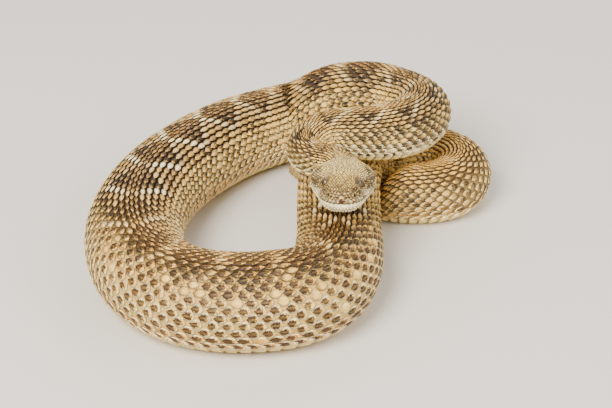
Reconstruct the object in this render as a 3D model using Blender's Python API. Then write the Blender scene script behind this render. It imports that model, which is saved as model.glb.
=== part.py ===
"""Western diamondback rattlesnake, coiled on flat ground with its head resting forward on its own body.

The body follows one named route from the snout to the end of the rattle. Every length of body, the head,
the tail and the rattle are lofted along that route from named widths and heights.
Lengths are written in millimetres and scaled to metres when a mesh is made.
"""
import bpy
import bmesh
import math
import numpy as np
from mathutils import Vector

MM = 0.001
GAP = 0.3

# The middle of the coil's outline, so that the model's own origin is the floor point under its box
COIL_MIDDLE = (-6.72, -41.42)

# The body's route over the floor: x, y, height of the underside above the floor, body width, body height
ROUTE = [
    ("snout", 19.8, -96, 52.6, 21, 19),
    ("eyes", 20.5, -81, 50.8, 21, 19),
    ("jaw corner", 21.3, -66, 49.8, 21, 19),
    ("nape", 20.3, -53, 49.4, 21, 19),
    ("neck out", 14, -45.5, 49.5, 20.5, 19.5),
    ("neck left", 3.4, -42.3, 49.8, 21, 20.5),
    ("neck turn", -0.8, -34.2, 50.3, 22, 21.5),
    ("neck back", 4, -25.5, 51, 24, 23.5),
    ("over the body", 14, -21.3, 51.3, 27.5, 27),
    ("front strand", 27, -21, 50.3, 30.5, 29.5),
    ("front strand falls", 43, -17.5, 47.2, 33, 32),
    ("front strand right", 57, -11, 45.5, 35, 33.5),
    ("upper turn", 67.5, 1, 43.5, 36, 34.5),
    ("upper turn right", 70, 15, 42, 37, 35.5),
    ("upper turn back", 62.5, 29.5, 39.8, 38.5, 36),
    ("top strand", 46, 41, 37.8, 41, 37.5),
    ("top strand falls", 22, 53.5, 26, 45, 42),
    ("down to the floor", -8, 59, 4, 49, 46.5),
    ("back left", -36.5, 47.5, 0, 51, 49),
    ("left side", -63, 22, 0, 52.5, 51),
    ("left flank", -85, -10.5, 0, 54.5, 52),
    ("far left", -98, -48, 0, 56, 52.5),
    ("left front", -99, -84, 0, 57, 53),
    ("front corner", -88, -114, 0, 57, 53),
    ("front loop", -67, -131.5, 0, 57, 53),
    ("front middle", -44, -137.5, 0, 57, 53),
    ("front right", -20, -136.5, 0, 57, 53),
    ("front turn", 2, -127.5, 0, 56, 51),
    ("turns back", 15.5, -108, 0, 53, 49),
    ("under the chin", 19.3, -82, 0, 50.5, 46),
    ("under the head", 19.5, -58, 1, 49, 44),
    ("under the neck", 19.5, -36, 6, 49, 42),
    ("over the tail", 21, -14, 11, 49, 39.5),
    ("rear strand", 29.5, 9.5, 10, 43, 36),
    ("rear strand right", 50, 24.8, 0, 38.5, 36.5),
    ("low turn", 73, 27.8, 0, 39, 37.5),
    ("low turn right", 90, 21.5, 0, 38.4, 37),
    ("low turn far right", 96, 7.3, 0, 38, 37),
    ("low turn front", 89.5, -7.3, 0, 37.6, 37),
    ("last strand", 75.5, -13.3, 0, 36.5, 36.5),
    ("last strand left", 62, -14, 0, 35, 35.5),
    ("vent", 50, -12, 0, 30, 25),
    ("tail root", 40, -9, 0, 19, 11),
    ("tail under the body", 23, -3, 0, 15, 9.5),
    ("tail end", 9, 9.5, 0, 12, 9),
    ("rattle", 2, 19.5, 0, 9, 10.5),
    ("rattle tip", -9.5, 35.5, 0, 7.5, 9.5),
]

# The head by distance behind the snout: half width at the mouth, crown above the mouth, jaw below it,
# squareness, and how far the sides lean in towards the crown
HEAD = [
    ("snout", 4, 10.0, 7.4, 6.8, 2.8, 0.10),
    ("pit", 9, 12.2, 8.8, 7.6, 2.6, 0.16),
    ("eye", 15, 14.3, 10.8, 8.2, 2.5, 0.20),
    ("temple", 21, 16.6, 11.5, 8.8, 2.3, 0.14),
    ("gland", 28, 18.2, 11.4, 9.2, 2.2, 0.06),
    ("jaw corner", 33, 17.8, 10.9, 9.4, 2.1, 0.03),
    ("behind the jaw", 38.5, 14.2, 10.2, 9.5, 2.0, 0.0),
    ("nape", 44, 10.5, 9.5, 9.5, 2.0, 0.0),
]

# Swellings and hollows on each side of the head: distance behind the snout, degrees up from the side
# towards the crown, spread along the head, spread round it in degrees, height above the plain form
HEAD_FORMS = [
    ("brow shield", 14.8, 59, 5.2, 11, 2.2),
    ("eye hollow", 15.2, 29, 3.6, 14, -1.5),
    ("snout edge", 7.0, 58, 4.2, 9, 0.7),
    ("pit hollow", 8.5, 30, 3.2, 13, -0.8),
    ("venom gland", 29, 16, 7.0, 30, 0.9),
    ("temple hollow", 23, 48, 5.0, 14, -0.5),
    ("between the brows", 14, 90, 5.0, 16, -0.7),
]

HEAD_SIDES = 40
SNOUT_ROUND = 7.5
LIP_SWELL = 0.4
LIP_HEIGHT = 2.0
MOUTH_DIP = 1.3
MOUTH_RISE = 1.3
MOUTH_START = 3.0
MOUTH_END = 32.0
JAW_SLANT = 6.0

# The block that parts the jaw from the head: how far it reaches ahead, out to each side and down
BLOCK_AHEAD = 3.0
BLOCK_OUT = 26.0
BLOCK_DOWN = 16.0
BLOCK_RINGS = 26

EYE_RADIUS = 2.6
EYE_BEHIND_SNOUT = 15.2
EYE_OUT = 9.2
EYE_UP = 6.2
EYE_RINGS = 8
SOCKET_RINGS = 10
DENT_RINGS = 7

# Dents in the face: distance behind the snout, out from the middle, up from the mouth, radius
NOSTRIL = (3.4, 8.2, 4.0, 1.0)
HEAT_PIT = (8.8, 10.4, 3.4, 1.3)

# One segment of the rattle from its front rim to its back rim: share of its length, share of full girth
RATTLE_SEGMENT = [(0.0, 0.80), (0.1, 0.97), (0.45, 1.0), (0.62, 0.88), (0.74, 0.94), (0.92, 0.88)]
RATTLE_SEGMENTS = 7
RATTLE_SIDES = 16
RATTLE_GROOVE = 0.16
RATTLE_TAPER = 0.18

HEAD_END = "nape"
NECK_END = "front strand"
VENT = "vent"
RATTLE_START = "tail end"
BODY_NODES = 11

BODY_SIDES = 24
RING_STEP = 7.0
ROUTE_STEPS = 6000
SOFTENING = 121
RIDGE = 0.05
RIDGE_ANGLE = 0.4
BELLY_DEPTH = 1.12


def chord_parameter(points):
    """A curve parameter that grows with the square root of each chord, which keeps bends round."""
    chords = np.linalg.norm(np.diff(points, axis=0), axis=1)
    return np.concatenate([[0.0], np.cumsum(np.sqrt(chords))])


def natural_spline(knots, values, at):
    """Values of the natural cubic spline through the knots."""
    count = len(knots)
    steps = np.diff(knots)
    matrix = np.eye(count)
    right = np.zeros((count, values.shape[1]))
    for i in range(1, count - 1):
        matrix[i, i - 1] = steps[i - 1]
        matrix[i, i] = 2 * (steps[i - 1] + steps[i])
        matrix[i, i + 1] = steps[i]
        slopes = (values[i + 1] - values[i]) / steps[i] - (values[i] - values[i - 1]) / steps[i - 1]
        right[i] = 6 * slopes
    bends = np.linalg.solve(matrix, right)
    i = np.clip(np.searchsorted(knots, at) - 1, 0, count - 2)
    step = steps[i][:, None]
    a = (knots[i + 1] - at)[:, None] / step
    b = (at - knots[i])[:, None] / step
    return a * values[i] + b * values[i + 1] + ((a**3 - a) * bends[i] + (b**3 - b) * bends[i + 1]) * step**2 / 6


def steady_curve(knots, values, at):
    """Cubic through the knots that never overshoots them."""
    steps = np.diff(knots)
    slopes = np.diff(values) / steps
    tangents = np.zeros(len(knots))
    tangents[0] = slopes[0]
    tangents[-1] = slopes[-1]
    for i in range(1, len(knots) - 1):
        if slopes[i - 1] * slopes[i] > 0:
            tangents[i] = 2 * slopes[i - 1] * slopes[i] / (slopes[i - 1] + slopes[i])
    i = np.clip(np.searchsorted(knots, at) - 1, 0, len(knots) - 2)
    t = (at - knots[i]) / steps[i]
    start = (2 * t**3 - 3 * t**2 + 1) * values[i] + (t**3 - 2 * t**2 + t) * steps[i] * tangents[i]
    end = (3 * t**2 - 2 * t**3) * values[i + 1] + (t**3 - t**2) * steps[i] * tangents[i + 1]
    return start + end


def softened(values):
    """Evens out the slopes where the body comes down to the floor or climbs over itself."""
    window = np.hanning(SOFTENING)
    padded = np.pad(values, SOFTENING // 2, mode="edge")
    return np.convolve(padded, window / window.sum(), mode="valid")[:len(values)]


class Route:
    """The snake's mid-line, with a frame, a width and a height at each distance from the snout."""

    def __init__(self):
        rows = np.array([row[1:] for row in ROUTE], float)
        rows[:, 0] -= COIL_MIDDLE[0]
        rows[:, 1] -= COIL_MIDDLE[1]
        knots = chord_parameter(rows[:, :3])
        fine = np.linspace(0, knots[-1], ROUTE_STEPS)
        plan = natural_spline(knots, rows[:, :2], fine)
        lift = softened(steady_curve(knots, rows[:, 2], fine))
        under = np.column_stack([plan, lift])
        travelled = np.linalg.norm(np.diff(under, axis=0), axis=1)
        self.distance = np.concatenate([[0.0], np.cumsum(travelled)])
        self.under = under
        self.width = steady_curve(knots, rows[:, 3], fine)
        self.height = steady_curve(knots, rows[:, 4], fine)
        self.named = {row[0]: float(np.interp(k, fine, self.distance)) for row, k in zip(ROUTE, knots)}
        self.length = float(self.distance[-1])

    def read(self, values, at):
        return np.array([np.interp(at, self.distance, values[:, k]) for k in range(values.shape[1])])

    def frame(self, at):
        """Middle, sideways and upward directions, width and height at a distance from the snout."""
        ahead = self.read(self.under, min(at + 1.0, self.length))
        behind = self.read(self.under, max(at - 1.0, 0.0))
        along = (ahead - behind) / np.linalg.norm(ahead - behind)
        side = np.cross(along, (0, 0, 1))
        side /= np.linalg.norm(side)
        up = np.cross(side, along)
        width = float(np.interp(at, self.distance, self.width))
        height = float(np.interp(at, self.distance, self.height))
        middle = self.read(self.under, at) + np.array((0, 0, height / 2))
        return middle, side, up, width, height


def body_ring(route, at, shift=0.0):
    """One cross-section: a low ridge along the back, round flanks and a flat belly."""
    middle, side, up, width, height = route.frame(at)
    middle = middle + np.cross(up, side) * shift
    ring = []
    for k in range(BODY_SIDES):
        angle = 2 * math.pi * k / BODY_SIDES
        turned = (angle + math.pi) % (2 * math.pi) - math.pi
        across = math.sin(angle)
        high = math.cos(angle)
        if high > 0:
            high = high * (1 - RIDGE) + RIDGE * math.exp(-((turned / RIDGE_ANGLE) ** 2))
        else:
            high = max(high * BELLY_DEPTH, -1.0)
        point = middle + side * across * width / 2 + up * high * height / 2
        point[2] = max(point[2], 0.0)
        ring.append(point)
    return ring


def loft(name, rings, material):
    """A closed skin over a row of rings, with a fan over each end."""
    mesh_data = bmesh.new()
    rows = [[mesh_data.verts.new(Vector(p) * MM) for p in ring] for ring in rings]
    sides = len(rings[0])
    for near, far in zip(rows, rows[1:]):
        for k in range(sides):
            n = (k + 1) % sides
            mesh_data.faces.new((near[k], near[n], far[n], far[k]))
    for row, points in ((rows[0], rings[0]), (rows[-1], rings[-1])):
        hub = mesh_data.verts.new(Vector(np.mean(points, axis=0)) * MM)
        for k in range(sides):
            mesh_data.faces.new((row[k], row[(k + 1) % sides], hub))
    bmesh.ops.recalc_face_normals(mesh_data, faces=mesh_data.faces)
    if mesh_data.calc_volume(signed=True) < 0:
        bmesh.ops.reverse_faces(mesh_data, faces=mesh_data.faces)
    return finish(name, mesh_data, material)


def finish(name, mesh_data, material):
    """Triangles in a mesh object that is shaded smooth, with its material."""
    bmesh.ops.triangulate(mesh_data, faces=mesh_data.faces, quad_method="BEAUTY", ngon_method="BEAUTY")
    mesh = bpy.data.meshes.new(name)
    mesh_data.to_mesh(mesh)
    mesh_data.free()
    mesh.shade_smooth()
    mesh.set_sharp_from_angle(angle=math.radians(50))
    mesh.materials.append(material)
    thing = bpy.data.objects.new(name, mesh)
    snake.objects.link(thing)
    return thing


def plain_material(name, colour, roughness):
    material = bpy.data.materials.new(name)
    material.use_nodes = True
    shader = material.node_tree.nodes["Principled BSDF"]
    shader.inputs["Base Color"].default_value = (*colour, 1)
    shader.inputs["Roughness"].default_value = roughness
    shader.inputs["Metallic"].default_value = 0.0
    return material


def head_sizes(behind):
    """Half width, crown, jaw, squareness and lean at a distance behind the snout, rounded off at the snout."""
    table = np.array([row[1:] for row in HEAD], float)
    at = np.array([min(max(behind, table[0, 0]), table[-1, 0])])
    read = [float(steady_curve(table[:, 0], table[:, k], at)[0]) for k in range(1, 6)]
    half, crown, jaw, square, lean = read
    if behind < SNOUT_ROUND:
        left = 1 - behind / SNOUT_ROUND
        half *= (1 - left**2.8) ** 0.5
        crown *= 0.5 + 0.5 * (1 - left**3) ** 0.5
        jaw *= 0.4 + 0.6 * (1 - left**2.5) ** 0.5
    return half, crown, jaw, square, lean


def mouth_height(behind):
    """Height of the mouth's line over the head's mid-line: it dips under the eye and rises to its corner."""
    share = min(max((behind - MOUTH_START) / (MOUTH_END - MOUTH_START), 0), 1)
    return MOUTH_RISE * share**3 - MOUTH_DIP * math.sin(math.pi * share)


def head_point(behind, angle):
    """Across and up from the mid-line, for a point at an angle from the side towards the crown."""
    half, crown, jaw, square, lean = head_sizes(behind)
    cosine = math.cos(angle)
    sine = math.sin(angle)
    across = half * math.copysign(abs(cosine) ** (2 / square), cosine)
    up = (crown if sine > 0 else jaw) * math.copysign(abs(sine) ** (2 / square), sine)
    across *= 1 - lean * max(up, 0) / crown
    raised = math.degrees(math.atan2(sine, abs(cosine)))
    swell = 0.0
    for _, place, degrees, length, spread, height in HEAD_FORMS:
        swell += height * math.exp(-(((behind - place) / length) ** 2) - ((raised - degrees) / spread) ** 2)
    lip = (up - mouth_height(behind)) / LIP_HEIGHT
    if behind < MOUTH_END:
        swell += LIP_SWELL * math.exp(-(lip**4)) * min(1, (MOUTH_END - behind) / 8)
    normal = math.hypot(cosine, sine)
    return across + swell * cosine / normal, up + swell * sine / normal


def place(route, behind, across, up):
    """The point of the head at a distance behind the snout, across and up from the mid-line."""
    middle, side, upward, _, _ = route.frame(behind)
    return middle + side * across + upward * up


def head_ring(route, behind, shift=0.0):
    """One cross-section of the head, moved back along the head by the shift."""
    _, side, upward, _, _ = route.frame(behind)
    moved = np.cross(upward, side) * shift
    ring = []
    for k in range(HEAD_SIDES):
        across, up = head_point(behind, 2 * math.pi * (k + 0.5) / HEAD_SIDES)
        ring.append(place(route, behind, across, up) + moved)
    return ring


def mouth_block(name, route, rise, end):
    """A block that fills the space below the mouth's line, back to its corner and then down behind the jaw."""
    rings = []
    for behind in np.linspace(-BLOCK_AHEAD, end, BLOCK_RINGS):
        top = mouth_height(behind) + rise
        back = behind + JAW_SLANT * max(behind, 0) / end
        corners = [(behind, -BLOCK_OUT, top), (behind, BLOCK_OUT, top)]
        corners += [(back, BLOCK_OUT, -BLOCK_DOWN), (back, -BLOCK_OUT, -BLOCK_DOWN)]
        rings.append([extended(route, *corner) for corner in corners])
    return loft(name, rings, scaly)


def extended(route, behind, across, up):
    """Like place, and straight on ahead of the snout."""
    middle, side, upward, _, _ = route.frame(max(behind, 0.0))
    forward = np.cross(side, upward)
    middle = middle + forward * max(-behind, 0.0)
    return middle + side * across + upward * up


def apply_boolean(target, cutter, operation):
    """Cuts or keeps what the cutter shares with the target, then removes the cutter."""
    modifier = target.modifiers.new("cut", "BOOLEAN")
    modifier.operation = operation
    modifier.object = cutter
    modifier.solver = "MANIFOLD"
    scene_graph = bpy.context.evaluated_depsgraph_get()
    mesh = bpy.data.meshes.new_from_object(target.evaluated_get(scene_graph))
    target.modifiers.clear()
    target.data = mesh
    bpy.data.objects.remove(cutter, do_unlink=True)


def ball(name, centre, radius, rings, material):
    mesh_data = bmesh.new()
    bmesh.ops.create_uvsphere(mesh_data, u_segments=2 * rings, v_segments=rings, radius=radius * MM)
    bmesh.ops.translate(mesh_data, verts=mesh_data.verts, vec=Vector(centre) * MM)
    return finish(name, mesh_data, material)


def head_and_jaw(route):
    """The head and the lower jaw, parted along the mouth, with eyes, nostrils and heat pits."""
    nape = route.named[HEAD_END]
    stations = np.concatenate([(0.03, 0.35, 1.0, 2.0, 3.2), np.linspace(4.5, nape, 31)])
    rings = [head_ring(route, at) for at in stations[:-1]]
    rings.append(head_ring(route, nape, -GAP / 2))
    head = loft("head", rings, scaly)
    jaw = loft("jaw", rings, pale)
    apply_boolean(jaw, mouth_block("below", route, -GAP / 2, MOUTH_END - GAP / 2), "INTERSECT")
    apply_boolean(head, mouth_block("below", route, GAP / 2, MOUTH_END + GAP / 2), "DIFFERENCE")
    for side, sign in (("left", 1), ("right", -1)):
        centre = place(route, EYE_BEHIND_SNOUT, sign * EYE_OUT, EYE_UP)
        apply_boolean(head, ball("socket", centre, EYE_RADIUS + GAP, SOCKET_RINGS, scaly), "DIFFERENCE")
        ball("eye_" + side, centre, EYE_RADIUS, EYE_RINGS, eye_glass)
        for behind, out, up, radius in (NOSTRIL, HEAT_PIT):
            dent = place(route, behind, sign * out, up)
            apply_boolean(head, ball("dent", dent, radius, DENT_RINGS, scaly), "DIFFERENCE")


def rattle(route):
    """Loose horny segments, each with a rim, a bulge and a groove along both sides."""
    start = route.named[RATTLE_START] + GAP / 2
    segment = (route.length - start) / RATTLE_SEGMENTS
    stations = [(start + (k + share) * segment, girth) for k in range(RATTLE_SEGMENTS)
                for share, girth in RATTLE_SEGMENT]
    stations.append((route.length, RATTLE_SEGMENT[0][1]))
    rings = []
    for at, girth in stations:
        middle, side, up, width, height = route.frame(at)
        girth *= 1 - RATTLE_TAPER * (at - start) / (route.length - start)
        ring = []
        for k in range(RATTLE_SIDES):
            angle = 2 * math.pi * k / RATTLE_SIDES
            groove = 1 - RATTLE_GROOVE * math.exp(-((math.cos(angle) / 0.3) ** 2))
            across = math.sin(angle) * groove * girth * width / 2
            ring.append(middle + side * across + up * math.cos(angle) * girth * height / 2)
        rings.append(ring)
    loft("rattle", rings, horn)


def body_lengths(route):
    """The neck, the lengths of body and the tail, each with a thin gap to the next."""
    neck_end = route.named[NECK_END]
    vent = route.named[VENT]
    cuts = [route.named[HEAD_END], neck_end]
    cuts += [neck_end + (vent - neck_end) * k / BODY_NODES for k in range(1, BODY_NODES + 1)]
    cuts.append(route.named[RATTLE_START])
    names = ["neck"] + [f"body_{k:02d}" for k in range(1, BODY_NODES + 1)] + ["tail"]
    for name, start, end in zip(names, cuts, cuts[1:]):
        count = math.ceil((end - start) / RING_STEP) + 1
        rings = [body_ring(route, start, GAP / 2)]
        rings += [body_ring(route, at) for at in np.linspace(start, end, count)[1:-1]]
        rings.append(body_ring(route, end, -GAP / 2))
        loft(name, rings, scaly)


for old in list(bpy.data.objects):
    bpy.data.objects.remove(old, do_unlink=True)
snake = bpy.data.collections.new("rattlesnake")
bpy.context.scene.collection.children.link(snake)
scaly = plain_material("scaly_skin", (0.42, 0.33, 0.22), 0.55)
pale = plain_material("pale_scales", (0.72, 0.66, 0.55), 0.5)
eye_glass = plain_material("eye", (0.10, 0.08, 0.05), 0.1)
horn = plain_material("rattle_horn", (0.50, 0.42, 0.30), 0.6)
route = Route()
head_and_jaw(route)
rattle(route)
body_lengths(route)
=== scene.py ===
import math

import bmesh
import bpy
import numpy as np
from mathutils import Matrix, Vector


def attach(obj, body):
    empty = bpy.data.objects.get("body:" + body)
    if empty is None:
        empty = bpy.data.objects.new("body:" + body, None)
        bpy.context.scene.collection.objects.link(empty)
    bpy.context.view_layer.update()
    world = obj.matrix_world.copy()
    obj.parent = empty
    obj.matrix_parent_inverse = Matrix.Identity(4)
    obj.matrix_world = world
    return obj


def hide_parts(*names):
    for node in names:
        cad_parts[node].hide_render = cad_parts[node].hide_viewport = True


# Western diamondback rattlesnake, coiled on flat ground with its head forward on its own body.
# Lengths are in millimetres along one route from the snout to the rattle, and MM scales them to metres.
# A place on the snake is a distance from the snout and a turn from the back towards the snake's left.
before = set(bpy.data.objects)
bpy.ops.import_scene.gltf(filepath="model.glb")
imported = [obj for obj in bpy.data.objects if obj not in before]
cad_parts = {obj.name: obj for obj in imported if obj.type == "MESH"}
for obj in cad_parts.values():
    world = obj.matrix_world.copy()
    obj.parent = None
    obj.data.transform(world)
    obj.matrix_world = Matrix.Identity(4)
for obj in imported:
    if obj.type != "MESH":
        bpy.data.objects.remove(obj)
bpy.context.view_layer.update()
chance = np.random.default_rng(7)

MM = 0.001

# The middle of the coil's outline, so that the model's own origin is the floor point under its box
COIL_MIDDLE = (-6.72, -41.42)

# The body's route over the floor: x, y, height of the underside above the floor, body width, body height
ROUTE = [
    ("snout", 19.8, -96, 52.6, 21, 19),
    ("eyes", 20.5, -81, 50.8, 21, 19),
    ("jaw corner", 21.3, -66, 49.8, 21, 19),
    ("nape", 20.3, -53, 49.4, 21, 19),
    ("neck out", 14, -45.5, 49.5, 20.5, 19.5),
    ("neck left", 3.4, -42.3, 49.8, 21, 20.5),
    ("neck turn", -0.8, -34.2, 50.3, 22, 21.5),
    ("neck back", 4, -25.5, 51, 24, 23.5),
    ("over the body", 14, -21.3, 51.3, 27.5, 27),
    ("front strand", 27, -21, 50.3, 30.5, 29.5),
    ("front strand falls", 43, -17.5, 47.2, 33, 32),
    ("front strand right", 57, -11, 45.5, 35, 33.5),
    ("upper turn", 67.5, 1, 43.5, 36, 34.5),
    ("upper turn right", 70, 15, 42, 37, 35.5),
    ("upper turn back", 62.5, 29.5, 39.8, 38.5, 36),
    ("top strand", 46, 41, 37.8, 41, 37.5),
    ("top strand falls", 22, 53.5, 26, 45, 42),
    ("down to the floor", -8, 59, 4, 49, 46.5),
    ("back left", -36.5, 47.5, 0, 51, 49),
    ("left side", -63, 22, 0, 52.5, 51),
    ("left flank", -85, -10.5, 0, 54.5, 52),
    ("far left", -98, -48, 0, 56, 52.5),
    ("left front", -99, -84, 0, 57, 53),
    ("front corner", -88, -114, 0, 57, 53),
    ("front loop", -67, -131.5, 0, 57, 53),
    ("front middle", -44, -137.5, 0, 57, 53),
    ("front right", -20, -136.5, 0, 57, 53),
    ("front turn", 2, -127.5, 0, 56, 51),
    ("turns back", 15.5, -108, 0, 53, 49),
    ("under the chin", 19.3, -82, 0, 50.5, 46),
    ("under the head", 19.5, -58, 1, 49, 44),
    ("under the neck", 19.5, -36, 6, 49, 42),
    ("over the tail", 21, -14, 11, 49, 39.5),
    ("rear strand", 29.5, 9.5, 10, 43, 36),
    ("rear strand right", 50, 24.8, 0, 38.5, 36.5),
    ("low turn", 73, 27.8, 0, 39, 37.5),
    ("low turn right", 90, 21.5, 0, 38.4, 37),
    ("low turn far right", 96, 7.3, 0, 38, 37),
    ("low turn front", 89.5, -7.3, 0, 37.6, 37),
    ("last strand", 75.5, -13.3, 0, 36.5, 36.5),
    ("last strand left", 62, -14, 0, 35, 35.5),
    ("vent", 50, -12, 0, 30, 25),
    ("tail root", 40, -9, 0, 19, 11),
    ("tail under the body", 23, -3, 0, 15, 9.5),
    ("tail end", 9, 9.5, 0, 12, 9),
    ("rattle", 2, 19.5, 0, 9, 10.5),
    ("rattle tip", -9.5, 35.5, 0, 7.5, 9.5),
]
ROUTE_STEPS = 6000
SOFTENING = 121
RIDGE = 0.05
RIDGE_ANGLE = 0.4
BELLY_DEPTH = 1.12

# The head by distance behind the snout: half width at the mouth, crown above the mouth, jaw below it,
# squareness, and how far the sides lean in towards the crown
HEAD = [
    ("snout", 4, 10.0, 7.4, 6.8, 2.8, 0.10),
    ("pit", 9, 12.2, 8.8, 7.6, 2.6, 0.16),
    ("eye", 15, 14.3, 10.8, 8.2, 2.5, 0.20),
    ("temple", 21, 16.6, 11.5, 8.8, 2.3, 0.14),
    ("gland", 28, 18.2, 11.4, 9.2, 2.2, 0.06),
    ("jaw corner", 33, 17.8, 10.9, 9.4, 2.1, 0.03),
    ("behind the jaw", 38.5, 14.2, 10.2, 9.5, 2.0, 0.0),
    ("nape", 44, 10.5, 9.5, 9.5, 2.0, 0.0),
]

# Swellings and hollows on each side of the head: distance behind the snout, degrees up from the side
# towards the crown, spread along the head, spread round it in degrees, height above the plain form
HEAD_FORMS = [
    ("brow shield", 14.8, 59, 5.2, 11, 2.2),
    ("eye hollow", 15.2, 29, 3.6, 14, -1.5),
    ("snout edge", 7.0, 58, 4.2, 9, 0.7),
    ("pit hollow", 8.5, 30, 3.2, 13, -0.8),
    ("venom gland", 29, 16, 7.0, 30, 0.9),
    ("temple hollow", 23, 48, 5.0, 14, -0.5),
    ("between the brows", 14, 90, 5.0, 16, -0.7),
]
SNOUT_ROUND = 7.5
LIP_SWELL = 0.4
LIP_HEIGHT = 2.0
MOUTH_DIP = 1.3
MOUTH_RISE = 1.3
MOUTH_START = 3.0
MOUTH_END = 32.0
MOUTH_DEPTH = 1.1
MOUTH_WIDTH = 0.55
HEAD_FADE = (39.0, 45.0)

# The rows of lip scales: name, colour and its share, share of the spots, drop under the mouth's line,
# and how far round the lip from the middle of the snout the first scale lies
LIP_ROWS = [
    ("upper_lip", "lip", 0.3, 0.9, -1.45, 2.9),
    ("lower_lip", "white", 0.75, 0.15, 1.5, 1.2),
]
LIP_STEP = 2.35
LIP_HALF_HEIGHT = 1.42
LIP_BARE_END = 3.5

# The shield over each eye: its place, half its length and width, and the reach that it takes from the small
# scales along the head and round it
BROW_BEHIND_SNOUT = 14.9
BROW_TURN = math.radians(36)
BROW_HALF_LENGTH = 4.8
BROW_HALF_WIDTH = 2.9
BROW_CLEARING = (4.6, 0.19)

# How far behind the snout its blunt front reaches
FRONT_DEPTH = 3.1

EYE_RADIUS = 2.6
EYE_BEHIND_SNOUT = 15.2
EYE_OUT = 9.2
EYE_UP = 6.2
EYE_LOOK = math.radians(57)
PUPIL_WIDTH = 0.3
PUPIL_HEIGHT = 0.8

# Dents in the face: distance behind the snout, out from the middle, up from the mouth, radius
NOSTRIL = (3.4, 8.2, 4.0, 1.0)
HEAT_PIT = (8.8, 10.4, 3.4, 1.3)

# The skin lies this far inside the solids, under the scales
SKIN_DEPTH = 0.75
HEAD_SKIN_DEPTH = 0.35
SKIN_COLUMNS = 144
SKIN_ROWS = 600
SKIN_HEAD_ROWS = 150
FLOOR_CLEARANCE = 0.05

# Small steps over a surface, along it in millimetres and round it, for its slopes
STEP_ALONG = 0.3
STEP_ROUND = 0.02

# Length of body taken by one row of scales, by distance from the snout
ROW_PITCH = [
    (0, 1.55), (40, 1.7), (50, 3.0), (80, 3.9), (110, 4.4), (160, 5.0), (200, 5.6), (300, 6.3), (450, 6.6),
    (600, 6.6), (680, 6.3), (780, 5.6), (870, 5.0), (890, 4.0), (930, 3.4), (960, 3.4),
]
SCALE_ROWS = 13
LOWEST_ROW_TURN = math.radians(117)
ROW_SPREAD = 1.22
BODY_SCALES_FROM = 41.0
BODY_SCALES_TO = 925.5
BODY_PIECES = 3
FULL_PITCH = 6.5
BAKE_PATCH = 0.0015

# The pale, spotted front loop: where its looks come in and where they fade, by distance from the snout
FRONT_STARTS = (420, 480)
FRONT_ENDS = (690, 600)

# The dark diamonds down the back: rows of scales to each, rows that they are moved on by, and how many
# degrees from the ridge they reach
BAND_ROWS = 4.9
BAND_SHIFT = 3.0
DIAMOND_REACH = 43.0

# Length of each black or pale ring on the tail
TAIL_RING = 4.6

# The rattle: its segments, shares of one segment's length with the girth there, the girth at the tip,
# and how much the whole rattle narrows
RATTLE_SEGMENTS = 7
RATTLE_PROFILE = [(0.0, 0.70), (0.06, 0.86), (0.16, 0.98), (0.4, 1.02), (0.56, 0.99), (0.66, 0.90),
                  (0.76, 0.93), (0.88, 0.84)]
RATTLE_TIP = 0.4
RATTLE_TAPER = 0.18

COLOURS = {
    "white": (255, 242, 196),
    "cream": (255, 222, 126),
    "tan": (212, 156, 62),
    "straw": (244, 196, 86),
    "ochre": (228, 156, 24),
    "brown": (58, 28, 6),
    "umber": (122, 78, 26),
    "dark": (12, 7, 3),
    "bare skin": (218, 180, 98),
    "under": (36, 21, 8),
    "ash": (215, 210, 196),
    "coal": (28, 24, 20),
    "lip": (244, 224, 178),
    "cheek": (78, 56, 30),
    "crown": (255, 218, 122),
    "shield": (214, 178, 112),
    "iris": (96, 70, 40),
    "rostral": (206, 146, 100),
    "horn": (178, 150, 92),
}

# Near-blacks as linear light: painted shade at the scales' roots, partly their own darker base; painted shade
# in the pits, nostrils and mouth's line; and the pupil's black
SCALE_ROOT_TONE_AND_SHADE = (0.03, 0.018, 0.009)
PIT_SHADE = (0.01, 0.007, 0.005)
MOUTH_LINE_SHADE = (0.02, 0.012, 0.008)
PUPIL_BLACK = (0.004, 0.004, 0.004)

# Lamps by place, power and size, in metres and watts
LAMPS = [
    ("key", (-0.55, -0.9, 1.15), 54, 0.7),
    ("fill", (1.0, -0.5, 0.8), 13, 1.0),
    ("back", (0.2, 1.1, 0.9), 9, 1.0),
]
LAMP_COLOUR = (1.0, 0.94, 0.84)
SKY_COLOUR = (1.0, 0.98, 0.94, 1)
SKY_STRENGTH = 0.78
FLOOR_COLOUR = (0.62, 0.60, 0.57)
FLOOR_HALF_SIDE = 4.0
CAMERA_PLACE = (0.00672, -0.88108, 0.5991)
CAMERA_AIM = (0.00672, 0.04142, 0)
CAMERA_LENS = 103.53
CAMERA_SENSOR = 36


def paint(name):
    """A named colour as linear light."""
    share = np.array(COLOURS[name]) / 255
    return np.where(share <= 0.04045, share / 12.92, ((share + 0.055) / 1.055) ** 2.4)


def mixed(first, second, share):
    """Colours between two, each a name or linear light, by a share for each place."""
    first, second = [paint(colour) if isinstance(colour, str) else colour for colour in (first, second)]
    share = np.clip(np.atleast_1d(np.asarray(share, float)), 0, 1)[:, None]
    return np.atleast_2d(first) * (1 - share) + np.atleast_2d(second) * share


def smooth(low, high, value):
    """A smooth step from nothing at low to one at high, which may be the smaller of the two."""
    t = np.clip((value - low) / (high - low), 0, 1)
    return t * t * (3 - 2 * t)


def bump(value, width):
    """One at nothing, fading evenly on both sides."""
    return np.exp(-((value / width) ** 2))


def chord_parameter(points):
    """A curve parameter that grows with the square root of each chord, which keeps bends round."""
    chords = np.linalg.norm(np.diff(points, axis=0), axis=1)
    return np.concatenate([[0.0], np.cumsum(np.sqrt(chords))])


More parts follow.
